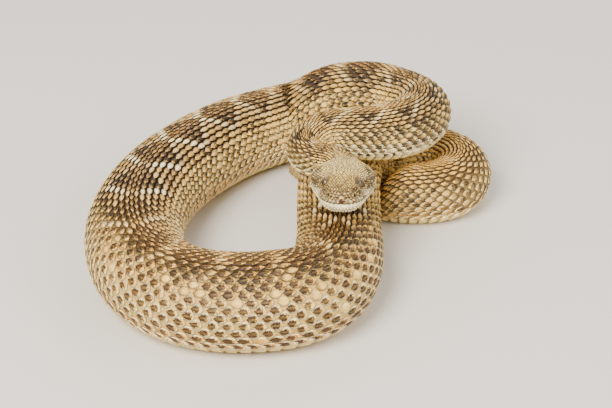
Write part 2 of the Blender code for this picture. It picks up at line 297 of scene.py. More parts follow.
def natural_spline(knots, values, at):
    """Values of the natural cubic spline through the knots."""
    count = len(knots)
    steps = np.diff(knots)
    matrix = np.eye(count)
    right = np.zeros((count, values.shape[1]))
    for i in range(1, count - 1):
        matrix[i, i - 1] = steps[i - 1]
        matrix[i, i] = 2 * (steps[i - 1] + steps[i])
        matrix[i, i + 1] = steps[i]
        slopes = (values[i + 1] - values[i]) / steps[i] - (values[i] - values[i - 1]) / steps[i - 1]
        right[i] = 6 * slopes
    bends = np.linalg.solve(matrix, right)
    i = np.clip(np.searchsorted(knots, at) - 1, 0, count - 2)
    step = steps[i][:, None]
    a = (knots[i + 1] - at)[:, None] / step
    b = (at - knots[i])[:, None] / step
    straight = a * values[i] + b * values[i + 1]
    return straight + ((a**3 - a) * bends[i] + (b**3 - b) * bends[i + 1]) * step**2 / 6


def steady_curve(knots, values, at):
    """Cubic through the knots that never overshoots them."""
    steps = np.diff(knots)
    slopes = np.diff(values) / steps
    tangents = np.zeros(len(knots))
    tangents[0] = slopes[0]
    tangents[-1] = slopes[-1]
    for i in range(1, len(knots) - 1):
        if slopes[i - 1] * slopes[i] > 0:
            tangents[i] = 2 * slopes[i - 1] * slopes[i] / (slopes[i - 1] + slopes[i])
    i = np.clip(np.searchsorted(knots, at) - 1, 0, len(knots) - 2)
    t = (at - knots[i]) / steps[i]
    start = (2 * t**3 - 3 * t**2 + 1) * values[i] + (t**3 - 2 * t**2 + t) * steps[i] * tangents[i]
    end = (3 * t**2 - 2 * t**3) * values[i + 1] + (t**3 - t**2) * steps[i] * tangents[i + 1]
    return start + end


def softened(values):
    """Evens out the slopes where the body comes down to the floor or climbs over itself."""
    window = np.hanning(SOFTENING)
    padded = np.pad(values, SOFTENING // 2, mode="edge")
    return np.convolve(padded, window / window.sum(), mode="valid")[:len(values)]


class Route:
    """The snake's mid-line, with a frame, a width and a height at each distance from the snout."""

    def __init__(self):
        rows = np.array([row[1:] for row in ROUTE], float)
        rows[:, 0] -= COIL_MIDDLE[0]
        rows[:, 1] -= COIL_MIDDLE[1]
        knots = chord_parameter(rows[:, :3])
        fine = np.linspace(0, knots[-1], ROUTE_STEPS)
        plan = natural_spline(knots, rows[:, :2], fine)
        lift = softened(steady_curve(knots, rows[:, 2], fine))
        self.under = np.column_stack([plan, lift])
        travelled = np.linalg.norm(np.diff(self.under, axis=0), axis=1)
        self.distance = np.concatenate([[0.0], np.cumsum(travelled)])
        self.width = steady_curve(knots, rows[:, 3], fine)
        self.height = steady_curve(knots, rows[:, 4], fine)
        self.named = {row[0]: float(np.interp(k, fine, self.distance)) for row, k in zip(ROUTE, knots)}
        self.length = float(self.distance[-1])

    def read(self, at):
        return np.column_stack([np.interp(at, self.distance, self.under[:, k]) for k in range(3)])

    def frames(self, at):
        """Middles, sideways and upward directions, widths and heights at distances from the snout."""
        ahead = self.read(np.minimum(at + 1.0, self.length))
        behind = self.read(np.maximum(at - 1.0, 0.0))
        along = ahead - behind
        along /= np.linalg.norm(along, axis=1)[:, None]
        side = np.column_stack([along[:, 1], -along[:, 0], np.zeros(len(along))])
        side /= np.linalg.norm(side, axis=1)[:, None]
        up = np.cross(side, along)
        width = np.interp(at, self.distance, self.width)
        height = np.interp(at, self.distance, self.height)
        middle = self.read(at)
        middle[:, 2] += height / 2
        return middle, side, up, width, height


def mouth_height(behind):
    """Height of the mouth's line over the head's mid-line: it dips under the eye and rises to its corner."""
    share = np.clip((behind - MOUTH_START) / (MOUTH_END - MOUTH_START), 0, 1)
    return MOUTH_RISE * share**3 - MOUTH_DIP * np.sin(math.pi * share)


def head_sizes(behind):
    """Half width, crown, jaw, squareness and lean behind the snout, rounded off at the snout."""
    table = np.array([row[1:] for row in HEAD], float)
    at = np.clip(behind, table[0, 0], table[-1, 0])
    half, crown, jaw, square, lean = [steady_curve(table[:, 0], table[:, k], at) for k in range(1, 6)]
    left = np.clip(1 - behind / SNOUT_ROUND, 0, 1)
    half = half * (1 - left**2.8) ** 0.5
    crown = crown * (0.5 + 0.5 * (1 - left**3) ** 0.5)
    jaw = jaw * (0.4 + 0.6 * (1 - left**2.5) ** 0.5)
    return half, crown, jaw, square, lean


def head_outline(behind, turn):
    """Across and up from the head's mid-line."""
    half, crown, jaw, square, lean = head_sizes(behind)
    cosine = np.sin(turn)
    sine = np.cos(turn)
    across = half * np.sign(cosine) * np.abs(cosine) ** (2 / square)
    up = np.where(sine > 0, crown, jaw) * np.sign(sine) * np.abs(sine) ** (2 / square)
    across = across * (1 - lean * np.maximum(up, 0) / crown)
    raised_by = np.degrees(np.arctan2(sine, np.abs(cosine)))
    swell = np.zeros_like(across)
    for _, place, degrees, length, spread, height in HEAD_FORMS:
        swell += height * bump(behind - place, length) * bump(raised_by - degrees, spread)
    lip = (up - mouth_height(behind)) / LIP_HEIGHT
    swell += LIP_SWELL * np.exp(-(lip**4)) * np.clip((MOUTH_END - behind) / 8, 0, 1)
    return across + swell * cosine, up + swell * sine


def body_outline(turn, width, height):
    """A low ridge along the back, round flanks and a flat belly."""
    wrapped = (turn + math.pi) % (2 * math.pi) - math.pi
    high = np.cos(turn)
    ridge = high * (1 - RIDGE) + RIDGE * bump(wrapped, RIDGE_ANGLE)
    high = np.where(high > 0, ridge, np.maximum(high * BELLY_DEPTH, -1))
    return np.sin(turn) * width / 2, high * height / 2


def skin_point(at, turn):
    """The solids' own surface at distances from the snout and turns from the back."""
    at = np.clip(np.asarray(at, float), 0.02, route.length)
    turn = np.asarray(turn, float)
    middle, side, up, width, height = route.frames(at)
    across, high = body_outline(turn, width, height)
    head_across, head_high = head_outline(at, turn)
    share = smooth(*HEAD_FADE, at)
    across = head_across * (1 - share) + across * share
    high = head_high * (1 - share) + high * share
    point = middle + side * across[:, None] + up * high[:, None]
    point[:, 2] = np.maximum(point[:, 2], 0.0)
    return point


def small_steps(surface, at, turn):
    """How far two small steps along and round a surface go."""
    along = surface(at + STEP_ALONG, turn) - surface(at - STEP_ALONG, turn)
    around = surface(at, turn + STEP_ROUND) - surface(at, turn - STEP_ROUND)
    return along, around


def outward(at, turn, surface=skin_point):
    """Unit directions away from the surface."""
    along, around = small_steps(surface, at, turn)
    normal = np.cross(around, along)
    return normal / np.maximum(np.linalg.norm(normal, axis=1), 1e-9)[:, None]


def raised(at, turn, rise, surface=skin_point):
    """Points off the surface by a rise, and never under the floor."""
    point = surface(at, turn) + outward(at, turn, surface) * np.asarray(rise, float)[:, None]
    point[:, 2] = np.maximum(point[:, 2], FLOOR_CLEARANCE)
    return point


def pitch_at(at):
    """Length of body that one row of scales takes."""
    table = np.array(ROW_PITCH, float)
    return np.interp(at, table[:, 0], table[:, 1])


def row_counts():
    """Distances from the snout, and the number of scale rows up to each."""
    at = np.linspace(0, route.length, 2000)
    pitch = pitch_at(at)
    steps = np.diff(at) / ((pitch[1:] + pitch[:-1]) / 2)
    return at, np.concatenate([[0.0], np.cumsum(steps)])


def row_number(at):
    """How many rows of scales lie between the snout and a distance."""
    return np.interp(at, row_table[0], row_table[1])


def row_place(number):
    """The distance from the snout of a row's number."""
    return np.interp(number, row_table[1], row_table[0])


def unwrapped(at, turn):
    """The skin's own unwrap: rows of scales along, turn around."""
    return np.column_stack([row_number(at) / row_table[1][-1], turn / (2 * math.pi) + 0.5])


def on_front(at):
    """One on the front loop, fading to nothing before and after it."""
    return smooth(*FRONT_STARTS, at) * smooth(*FRONT_ENDS, at)


def body_colours(at, turn):
    """Ground colour, spot colour, spot strength and how dark the sides are, for scales behind the head."""
    phase = (row_number(at) + BAND_SHIFT) / BAND_ROWS
    off = (phase + 0.5) % 1.0 - 0.5
    degrees = np.degrees(np.abs(turn))
    count = len(at)
    luck = chance.random(count)
    second = chance.random(count)
    front = on_front(at)
    diamond = np.abs(off) / 0.5 + degrees / DIAMOND_REACH
    filled = smooth(1.02, 0.84, diamond)
    tailward = smooth(700, 760, at)
    inside = filled * (1 - 0.55 * tailward) * (1 - 0.35 * smooth(210, 160, at))
    rear = smooth(690, 750, at)
    corner = filled * smooth(0.3, 0.6, diamond) * smooth(8, 22, degrees) * (1 - 0.6 * rear)
    freckle = (chance.random(count) < 0.06) * smooth(320, 240, at)
    side_off = phase % 1.0 - 0.5
    side_spot = smooth(1.25, 0.75, np.hypot(side_off / 0.27, (degrees - 70) / 13) + 0.3 * (luck - 0.5))
    low_spot = smooth(1.25, 0.75, np.hypot(off / 0.26, (degrees - 96) / 9) + 0.3 * (luck - 0.5))
    band = bump(diamond - 1.08, 0.13) * (0.25 + 0.75 * smooth(-0.05, 0.05, off)) * smooth(50, 34, degrees)
    band *= (1 - 0.5 * tailward) * (1 - 0.5 * smooth(230, 170, at))
    ground = mixed("tan", "straw", 0.15 + 0.75 * luck)
    ground = mixed(ground, "cream", (0.35 + 0.4 * second) * smooth(40, 62, degrees) * (0.4 + 0.6 * front))
    ground = mixed(ground, "ochre", 0.75 * smooth(92, 108, degrees) * smooth(240, 330, at))
    ground = mixed(ground, "white", 0.6 * smooth(84, 100, degrees) * smooth(330, 240, at))
    ground = mixed(ground, "umber", (0.85 - 0.7 * front) * inside * (0.7 + 0.3 * luck))
    ground = mixed(ground, "cream", 0.3 * (1 - inside) * second)
    between = (1 - front) * (1 - inside) * (1 - 0.7 * rear) * smooth(58, 36, degrees)
    ground = mixed(ground, "umber", between * (0.25 + 0.45 * luck))
    ground = mixed(ground, "ochre", 0.35 * rear * second)
    ground = mixed(ground, "ochre", (0.2 + 0.4 * smooth(85, 50, degrees)) * front * second)
    ground = mixed(ground, "white", band * (0.65 + 0.3 * luck) * (1 - 0.5 * front))
    spot = mixed("brown", "dark", 0.9 * np.maximum(corner, freckle) + 0.35 * second)
    strength = 0.25 + 0.5 * luck + 0.35 * front
    strength *= 0.45 + 0.55 * smooth(20 - 16 * front, 50 - 28 * front, degrees)
    strength = np.where(second < 0.08, 0.15, strength)
    strength = np.maximum(strength, 0.95 * np.maximum(side_spot, low_spot) * (0.6 + 0.4 * front))
    strength = np.maximum(strength, np.maximum(corner, freckle))
    strength = np.maximum(strength, inside * (0.4 + 0.3 * luck + 0.5 * front))
    strength *= 1 - (0.95 - 0.5 * front) * np.clip(band * 1.3, 0, 1)
    edge = 0.85 * smooth(66, 34, degrees) + 0.75 * (1 - front) * smooth(112, 80, degrees)
    edge *= (1 - 0.45 * rear) * (1 - 0.5 * front * smooth(12, 30, degrees))
    belly = smooth(122, 136, degrees)
    ground = mixed(ground, "cream", belly)
    strength *= 1 - 0.8 * belly
    edge = np.clip(edge, 0, 1) * (1 - belly)
    vent = route.named["vent"]
    ringed = smooth(vent + 4, vent + 8, at)
    coal = np.floor((at - vent) / TAIL_RING) % 2 == 1
    ground = mixed(ground, np.where(coal[:, None], paint("coal"), paint("ash")), ringed)
    strength *= 1 - ringed
    return ground, spot, strength, edge


def head_colours(at, turn):
    """The same four for the head's scales, from its pale stripes and dark cheeks."""
    _, up = head_outline(at, turn)
    rise = up - mouth_height(at)
    count = len(at)
    luck = chance.random(count)
    second = chance.random(count)
    top = smooth(6.0, 9.5, up)
    ground = mixed("crown", "tan", 0.6 * luck * luck)
    ground = mixed(ground, "white", 0.5 * second * top * smooth(15, 22, at))
    between_eyes = top * smooth(17, 13, at)
    ground = mixed(ground, "umber", 0.55 * between_eyes * (0.2 + 0.8 * second))
    face = (1 - top) * smooth(-0.5, 1.0, rise) * smooth(22, 12, at)
    ground = mixed(ground, "cheek", 0.85 * face * smooth(0.15, 0.5, second))
    behind_stripe = (at - 12.5) - (4.5 - rise) * 0.9
    cheek = smooth(1.5, 4.0, behind_stripe) * smooth(34, 29, at)
    cheek = cheek * smooth(9.0, 7.0, rise) * smooth(0.5, 1.6, rise)
    ground = mixed(ground, "cheek", cheek * (0.25 + 0.7 * smooth(0.1, 0.3, second)))
    front_stripe = bump(behind_stripe + 0.5, 2.7) * smooth(5.5, 4.0, rise) * (rise > -0.5)
    ground = mixed(ground, "lip", 0.95 * front_stripe)
    rear_line = rise - 9.2 + (at - 18) * 0.35
    rear_stripe = bump(rear_line, 1.0) * smooth(17, 19, at) * smooth(40, 36, at)
    ground = mixed(ground, "lip", 0.4 * rear_stripe)
    below = smooth(0.2, -0.4, rise) * smooth(37, 32, at)
    ground = mixed(ground, "white", below * 0.95)
    spot = mixed("brown", "dark", 0.6 * cheek)
    strength = (0.1 + 0.6 * luck) * (1 - below) * (1 - np.clip(front_stripe + rear_stripe, 0, 1))
    strength *= 0.3 + 0.7 * face + 0.5 * cheek
    edge = (0.9 - 0.25 * top) * (1 - below)
    return ground, spot, strength, edge


def colours(at, turn):
    """Ground, spot, spot strength and side darkness anywhere on the snake."""
    share = smooth(31, 54, at)
    head = head_colours(at, turn)
    body = body_colours(at, turn)
    parts = [mixed(first, second, share) for first, second in zip(head[:2], body[:2])]
    parts += [first * (1 - share) + second * share for first, second in zip(head[2:], body[2:])]
    return parts


def store(mesh, name, values, colour=False):
    """Keeps a vector or a colour for each point of a mesh."""
    if colour:
        values = np.column_stack([values, np.ones(len(values))])
    layer = mesh.attributes.new(name, "FLOAT_COLOR" if colour else "FLOAT_VECTOR", "POINT")
    layer.data.foreach_set("color" if colour else "vector", np.asarray(values, float).ravel())


def bake_map(mesh, places):
    """Sets the OFBake map from a place for each point."""
    loops = np.zeros(len(mesh.loops), int)
    mesh.loops.foreach_get("vertex_index", loops)
    layer = mesh.uv_layers.get("OFBake") or mesh.uv_layers.new(name="OFBake")
    layer.data.foreach_set("uv", places[loops].ravel())


def made_mesh(work, name):
    """Ends a bmesh as a mesh."""
    mesh = bpy.data.meshes.new(name)
    work.to_mesh(mesh)
    work.free()
    return mesh


def points_of(mesh):
    """A mesh's points, one to a row."""
    places = np.zeros(len(mesh.vertices) * 3)
    mesh.vertices.foreach_get("co", places)
    return places.reshape(-1, 3)


def in_scene(name, data):
    """A new object in the scene that holds the data."""
    made = bpy.data.objects.new(name, data)
    bpy.context.scene.collection.objects.link(made)
    return made


def linked(name, mesh, material):
    """An object at the origin that rides on the snake's body."""
    piece = in_scene(name, mesh)
    mesh.materials.append(material)
    mesh.shade_smooth()
    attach(piece, "root")
    return piece


class Finish:
    """A material, and short ways to build up its nodes."""

    def __init__(self, name, roughness):
        self.material = bpy.data.materials.new(name)
        self.material.use_nodes = True
        self.shader = self.material.node_tree.nodes["Principled BSDF"].inputs
        self.put("Roughness", roughness)

    def put(self, socket, value):
        """Sets a socket, or the shader's by name, to a number, a colour or another socket."""
        if isinstance(socket, str):
            socket = self.shader[socket]
        if isinstance(value, bpy.types.NodeSocket):
            self.material.node_tree.links.new(value, socket)
            return
        if isinstance(value, str):
            value = paint(value)
        socket.default_value = value if isinstance(value, (int, float)) else (*value, 1)

    def node(self, kind, sockets, **settings):
        """The outputs of a new node, once its settings and sockets are set."""
        made = self.material.node_tree.nodes.new("ShaderNode" + kind)
        for key, value in settings.items():
            setattr(made, key, value)
        for key, value in sockets.items():
            self.put(made.inputs[key], value)
        return made.outputs

    def stored(self, name, output="Color"):
        """A colour or a vector kept on the mesh."""
        return self.node("Attribute", {}, attribute_name=name)[output]

    def parts(self, name):
        """The three numbers of a vector kept on the mesh."""
        return self.node("SeparateXYZ", {0: self.stored(name, "Vector")})

    def sum_of(self, operation, first, second=0.0):
        """One step of arithmetic between sockets or numbers."""
        return self.node("Math", {0: first, 1: second}, operation=operation)[0]

    def plus(self, first, second):
        return self.sum_of("ADD", first, second)

    def less(self, first, second):
        return self.sum_of("SUBTRACT", first, second)

    def times(self, first, second):
        return self.sum_of("MULTIPLY", first, second)

    def squared(self, value):
        return self.sum_of("POWER", value, 2.0)

    def size_of(self, value):
        return self.sum_of("ABSOLUTE", value)

    def mix(self, first, second, share):
        """A mix of two colours by a socket."""
        return self.node("Mix", {0: share, 6: first, 7: second}, data_type="RGBA")[2]

    def ramp(self, value, low, high, start=0.0, end=1.0):
        """A smooth step of a socket from low to high."""
        sockets = {"Value": value, "From Min": low, "From Max": high, "To Min": start, "To Max": end}
        return self.node("MapRange", sockets, interpolation_type="SMOOTHSTEP")["Result"]

    def noise(self, scale, detail=3.0, roughness=0.6):
        """Noise over the object's own coordinates, with about that many features to the metre."""
        place = self.node("TexCoord", {})["Object"]
        sockets = {"Vector": place, "Scale": scale, "Detail": detail, "Roughness": roughness}
        return self.node("TexNoise", sockets)["Fac"]

    def bumped(self, height, distance, strength=1.0):
        """Gives the surface a grain of that height in metres."""
        sockets = {"Height": height, "Distance": distance, "Strength": strength}
        self.put("Normal", self.node("Bump", sockets)["Normal"])


def skin_material():
    """Soft skin between the scales, darker and greyer than they are."""
    finish = Finish("snake skin", 0.62)
    grain = finish.noise(1600)
    shade = finish.ramp(grain, 0.4, 0.75, 0.1, 0.5)
    finish.put("Base Color", finish.mix(finish.stored("colour"), "under", shade))
    finish.bumped(grain, 0.0002)
    return finish.material


def scale_material():
    """Dry keeled scales: a mottled dark spot, a pale free rim, dark sides, a root darkened partly by its own
    darker base and partly by painted shade where it tucks under the scale before it, and a pale keel.
    """
    finish = Finish("snake scales", 0.56)
    finish.put("Specular IOR Level", 0.28)
    ground = finish.stored("colour")
    spot = finish.stored("spot")
    along, across, keel_share = finish.parts("place")
    strength, sides, rim_share = finish.parts("tone")
    side = finish.size_of(across)
    fine = finish.noise(1900, 3.0, 0.7)
    coarse = finish.noise(620, 2.0, 0.5)
    grit = finish.noise(1150, 2.0, 0.6)
    length = finish.squared(finish.size_of(finish.times(finish.plus(along, 0.3), 1.25)))
    width = finish.squared(finish.times(side, 1.3))
    far = finish.sum_of("POWER", finish.plus(length, width), 0.5)
    torn = finish.plus(finish.times(finish.less(fine, 0.5), 1.8), finish.times(finish.less(coarse, 0.5), 1.6))
    spread = finish.less(finish.plus(far, torn), finish.times(strength, 0.55))
    blot = finish.times(finish.ramp(spread, 0.72, 0.34), finish.ramp(strength, 0.0, 0.7))
    flecked = finish.mix(ground, "white", finish.ramp(grit, 0.47, 0.37, 0.0, 0.55))
    spotted = finish.mix(flecked, spot, finish.times(blot, finish.ramp(fine, 0.58, 0.68, 1.0, 0.3)))
    worn = finish.times(finish.ramp(grit, 0.5, 0.6), finish.ramp(strength, 0.05, 0.5, 0.15, 0.8))
    mottled = finish.mix(spotted, spot, worn)
    margin = finish.ramp(finish.sum_of("MAXIMUM", side, along), 0.62, 0.92)
    rimmed = finish.mix(mottled, "white", finish.times(margin, rim_share))
    shaded = finish.mix(rimmed, "under", finish.times(finish.ramp(side, 0.32, 0.85), sides))
    keel = finish.times(finish.ramp(side, 0.3, 0.04), keel_share)
    bare = finish.less(1.0, finish.times(blot, 0.85))
    keeled = finish.mix(shaded, ground, finish.times(keel, bare))
    # Painted shade at each scale's root, where it tucks under the scale before it, mixed with the darker base
    # that real scales have; weaker where the sides are pale
    root = finish.times(finish.ramp(along, 0.05, -0.65, 0.0, 0.8), finish.ramp(sides, 0.0, 0.45, 0.35, 1.0))
    finish.put("Base Color", finish.mix(keeled, SCALE_ROOT_TONE_AND_SHADE, root))
    finish.bumped(fine, 0.00015, 0.7)
    return finish.material


def eye_material():
    """A speckled iris with an upright slit for a pupil, under a clear wet surface."""
    finish = Finish("snake eye", 0.08)
    beside, above, _ = finish.parts("look")
    narrow = finish.squared(finish.size_of(finish.sum_of("DIVIDE", beside, PUPIL_WIDTH)))
    tall = finish.squared(finish.size_of(finish.sum_of("DIVIDE", above, PUPIL_HEIGHT)))
    speckle = finish.ramp(finish.noise(2600, 4.0, 0.7), 0.4, 0.7)
    iris = finish.mix("iris", "coal", speckle)
    outside = finish.ramp(finish.plus(narrow, tall), 0.75, 1.15)
    finish.put("Base Color", finish.mix(PUPIL_BLACK, iris, outside))
    finish.put("Coat Weight", 0.6)
    finish.put("Coat Roughness", 0.03)
    return finish.material


def horn_material():
    """Dry grey-brown horn, streaked and worn at the rims."""
    finish = Finish("rattle horn", 0.55)
    streak = finish.noise(900, 4.0, 0.7)
    finish.put("Base Color", finish.mix("horn", "brown", finish.ramp(streak, 0.35, 0.7)))
    finish.bumped(streak, 0.0002)
    return finish.material


def skin_stations():
    """Distances of the skin's rings: close together on the head, wider along the body."""
    nape = route.named["nape"]
    head = nape * np.linspace(0, 1, SKIN_HEAD_ROWS) ** 1.35
    body = np.linspace(nape, route.named["tail end"], SKIN_ROWS - SKIN_HEAD_ROWS + 2)[1:]
    return np.concatenate([head, body])


def plain_turn(sizes, height):
    """The turn from the crown at which the head's plain form reaches a height over its mid-line."""
    _, crown, jaw, square, _ = sizes
    reach = np.where(height > 0, crown, jaw)
    sine = np.sign(height) * np.clip(np.abs(height) / reach, 0, 1) ** (square / 2)
    return math.pi / 2 - np.arcsin(sine)


def skin_turns(at, column_share):
    """Turns of the skin's points round a ring, gathered at the mouth on the head."""
    side = np.abs(column_share * 2 - 1)
    line = plain_turn(head_sizes(at), mouth_height(at))
    groove = 0.5
    below = line + (math.pi - line) * (side - groove) / (1 - groove)
    gathered = np.where(side < groove, line * (side / groove), below)
    pull = 1 - 0.75 * bump(side - groove, 0.05)
    gathered = line + (gathered - line) * pull
    share = smooth(34, 44, at)
    turn = gathered * (1 - share) + side * math.pi * share
    return turn * np.sign(column_share - 0.5)


def sheet_mesh(name, columns, rows):
    """A flat sheet of quads, with each point's share across and along."""
    sheet = bmesh.new()
    sheet.loops.layers.uv.new("OFBake")
    bmesh.ops.create_grid(sheet, x_segments=columns, y_segments=rows, size=0.5, calc_uvs=True)
    mesh = made_mesh(sheet, name)
    places = points_of(mesh)
    return mesh, places[:, 0] + 0.5, places[:, 1] + 0.5


def closed(mesh):
    """Joins a tube's seam, fills its two ends and turns its faces outwards."""
    work = bmesh.new()
    work.from_mesh(mesh)
    bmesh.ops.remove_doubles(work, verts=work.verts, dist=0.00001)
    bmesh.ops.holes_fill(work, edges=work.edges, sides=0)
    bmesh.ops.recalc_face_normals(work, faces=work.faces)
    if work.calc_volume(signed=True) < 0:
        bmesh.ops.reverse_faces(work, faces=work.faces)
    work.to_mesh(mesh)
    work.free()


def from_dent(dent, at, across, up):
    """How far places on the head lie from a nostril or a heat pit, on either side."""
    behind, out, high, _ = dent
    return np.sqrt((at - behind) ** 2 + (np.abs(across) - out) ** 2 + (up - high) ** 2)


def from_eye(at, up):
    """How far places on the head's side lie from the middle of the eye."""
    return np.sqrt((at - EYE_BEHIND_SNOUT) ** 2 + (up - EYE_UP) ** 2)


def pit_depth(at, turn):
    """How far the nostrils and the heat pits sink the skin."""
    across, up = head_outline(at, turn)
    depth = np.zeros_like(across)
    for dent in (NOSTRIL, HEAT_PIT):
        radius = dent[3]
        depth += 1.3 * radius * smooth(radius * 1.25, radius * 0.5, from_dent(dent, at, across, up))
    return depth


def socket_depth(at, turn):
    """How far the skin sinks behind each eye."""
    across, up = head_outline(at, turn)
    return 2.0 * smooth(EYE_RADIUS * 0.9, EYE_RADIUS * 0.6, from_eye(at, up)) * (np.abs(across) > 4)


def groove_depth(at, turn):
    """How far the mouth's line is drawn in."""
    _, up = head_outline(at, turn)
    line = bump(up - mouth_height(at), MOUTH_WIDTH)
    return MOUTH_DEPTH * line * smooth(MOUTH_END, MOUTH_END - 2.5, at)


def make_skin(material):
    """One skin from the snout to the rattle, in place of every solid of flesh."""
    mesh, column, row = sheet_mesh("skin", SKIN_COLUMNS, SKIN_ROWS)
    stations = skin_stations()
    at = np.interp(row, np.linspace(0, 1, len(stations)), stations)
    turn = skin_turns(at, column)
    on_head = 1 - smooth(38, 46, at)
    pit = pit_depth(at, turn)
    groove = groove_depth(at, turn)
    depth = SKIN_DEPTH + (HEAD_SKIN_DEPTH - SKIN_DEPTH) * on_head
    depth += on_head * (pit + socket_depth(at, turn) + groove)
    points = raised(at, turn, -depth * smooth(0.0, 1.0, at + 0.3))
    mesh.vertices.foreach_set("co", (points * MM).ravel())
    ground, spot, strength, _ = colours(at, turn)
    degrees = np.degrees(np.abs(turn))
    front = on_front(at)
    bare = smooth(44 - 26 * front, 62 - 26 * front, degrees)
    base = mixed("under", "bare skin", bare * (0.3 + 0.7 * front))
    base = mixed(base, "under", 0.6 * (1 - 0.7 * front) * smooth(40, 20, degrees))
    share = 0.2 + on_head * (0.2 + 0.35 * smooth(75, 110, degrees))
    tint = mixed(base, mixed(ground, spot, 0.35 * strength), share)
    # Painted shade: the skin in the nostrils and heat pits is made near black where they sink deepest
    tint = mixed(tint, PIT_SHADE, on_head * (pit > 0.3))
    # Painted shade: the skin is darkened along the drawn-in line of the mouth, by the groove's depth
    tint = mixed(tint, MOUTH_LINE_SHADE, on_head * smooth(0.3, 0.8, groove))
    store(mesh, "colour", tint, colour=True)
    bake_map(mesh, unwrapped(at, turn))
    closed(mesh)
    skin = linked("skin", mesh, material)
    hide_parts("head", "jaw", "neck", "tail", *[f"body_{k:02d}" for k in range(1, 12)])


def scale_template(along, across):
    """One scale before it is laid on the body: a closed leaf, its place from -1 to 1 each way.

    Gives its points, its faces and which points are on the underside.
    """
    leaf = bmesh.new()
    bmesh.ops.create_grid(leaf, x_segments=along, y_segments=across, size=1.0)
    top = list(leaf.faces)
    under = leaf.verts.layers.int.new("under")
    base = bmesh.ops.duplicate(leaf, geom=top)
    low = [item for item in base["geom"] if isinstance(item, bmesh.types.BMVert)]
    for vert in low:
        vert[under] = 1
    low_faces = [item for item in base["geom"] if isinstance(item, bmesh.types.BMFace)]
    inner = [edge for face in low_faces for edge in face.edges if not edge.is_boundary]
    bmesh.ops.dissolve_edges(leaf, edges=list(set(inner)), use_verts=True)
    open_edges = [edge for edge in leaf.edges if edge.is_boundary]
    bmesh.ops.bridge_loops(leaf, edges=open_edges)
    bmesh.ops.recalc_face_normals(leaf, faces=leaf.faces)
    leaf.verts.index_update()
    points = np.array([vert.co[:] for vert in leaf.verts])
    low_side = np.array([vert[under] for vert in leaf.verts])
    faces = [[vert.index for vert in face.verts] for face in leaf.faces]
    leaf.free()
    return points, faces, low_side


def lay_scales(name, template, at, turn, half_length, half_width, shape, rise, material,
               surface=skin_point, looks=None, tilt=0.0, pale_rim=0.5, painted_by_point=False):
    """Lays one copy of the template at each place, bent to the surface, and joins them in one mesh.

    shape holds for each scale how pointed it is, the height of its keel, its dome and its thickness;
    rise holds the heights of its root and of its free end above the solids' surface.
    """
    points, faces, low_side = template
    count = len(at)
    many = len(points)

    def spread(values):
        return np.repeat(np.broadcast_to(np.asarray(values, float), count), many)

    along = np.tile(points[:, 0], count)
    across = np.tile(points[:, 1], count)
    under = np.tile(low_side, count)
    pointed, keel, dome, thick = [spread(values) for values in shape]
    root, tip = [spread(values) for values in rise]
    lengthwise, around = small_steps(surface, at, turn)
    reach = np.maximum(np.linalg.norm(around / (2 * STEP_ROUND), axis=1), 0.5)
    stretch = np.maximum(np.linalg.norm(lengthwise / (2 * STEP_ALONG), axis=1), 0.35)
    outline = np.sqrt(np.clip(1.03 - np.abs(along) ** (2.6 - 0.9 * pointed), 0.0, 1))
    outline *= 1 - 0.45 * np.maximum(pointed, 0) * smooth(0.0, 1.0, along)
    outline *= 1 - 0.25 * np.clip(1 + pointed, 0, 1) * smooth(0.2, -1.0, along)
    slide = 1 - 0.1 * np.abs(across) ** 2 * np.abs(along)
    here = spread(at) + along * slide * spread(half_length / stretch)
    there = spread(turn) + across * outline * spread(half_width / reach)
    height = root + (tip - root) * (along + 1) / 2
    height += dome * (1 - across**2) * (1 - along**2 * 0.6)
    height += keel * np.clip(1 - np.abs(across) / 0.3, 0, 1) * (1 - np.abs(along) ** 4)
    height += spread(tilt) * across
    height -= under * thick
    mesh = bpy.data.meshes.new(name)
    offsets = np.arange(count) * many
    all_faces = [[corner + offset for corner in face] for offset in offsets.tolist() for face in faces]
    mesh.from_pydata(raised(here, there, height, surface) * MM, [], all_faces)
    if painted_by_point:
        ground, spot, strength, sides = colours(here, there)
    else:
        looks = looks or colours(at, turn)
        ground, spot, strength, sides = [np.repeat(values, many, axis=0) for values in looks]
    flicker = 1 + 0.16 * (np.repeat(chance.random(count), many) - 0.5)
    store(mesh, "colour", ground * flicker[:, None], colour=True)
    store(mesh, "spot", spot, colour=True)
    store(mesh, "place", np.column_stack([along, across, np.clip(keel / 0.3, 0, 1)]))
    store(mesh, "tone", np.column_stack([strength, sides, spread(pale_rim)]))
    roots = np.repeat(unwrapped(at, turn), many, axis=0)
    bake_map(mesh, roots + np.column_stack([along, across]) * BAKE_PATCH)
    linked(name, mesh, material)


def lattice(start, end):
    """Places of the back and flank scales: rows round the body, every other one half a step on."""
    steps = np.arange(math.ceil(row_number(start)), math.floor(row_number(end)) + 1)
    rows = np.repeat(np.arange(-SCALE_ROWS, SCALE_ROWS + 1), len(steps))
    numbers = np.tile(steps, 2 * SCALE_ROWS + 1) + 0.5 * (rows % 2)
    turn = np.sign(rows) * LOWEST_ROW_TURN * (np.abs(rows) / SCALE_ROWS) ** ROW_SPREAD
    return row_place(numbers), turn, rows


def row_gap(rows):
    """Turn between neighbouring rows."""
    share = np.maximum(np.abs(rows), 1) / SCALE_ROWS
    return LOWEST_ROW_TURN * ROW_SPREAD * share ** (ROW_SPREAD - 1) / SCALE_ROWS


def scale_size(pitch):
    """How large scales are beside the largest ones."""
    return np.clip(pitch / FULL_PITCH, 0.4, 1.1)


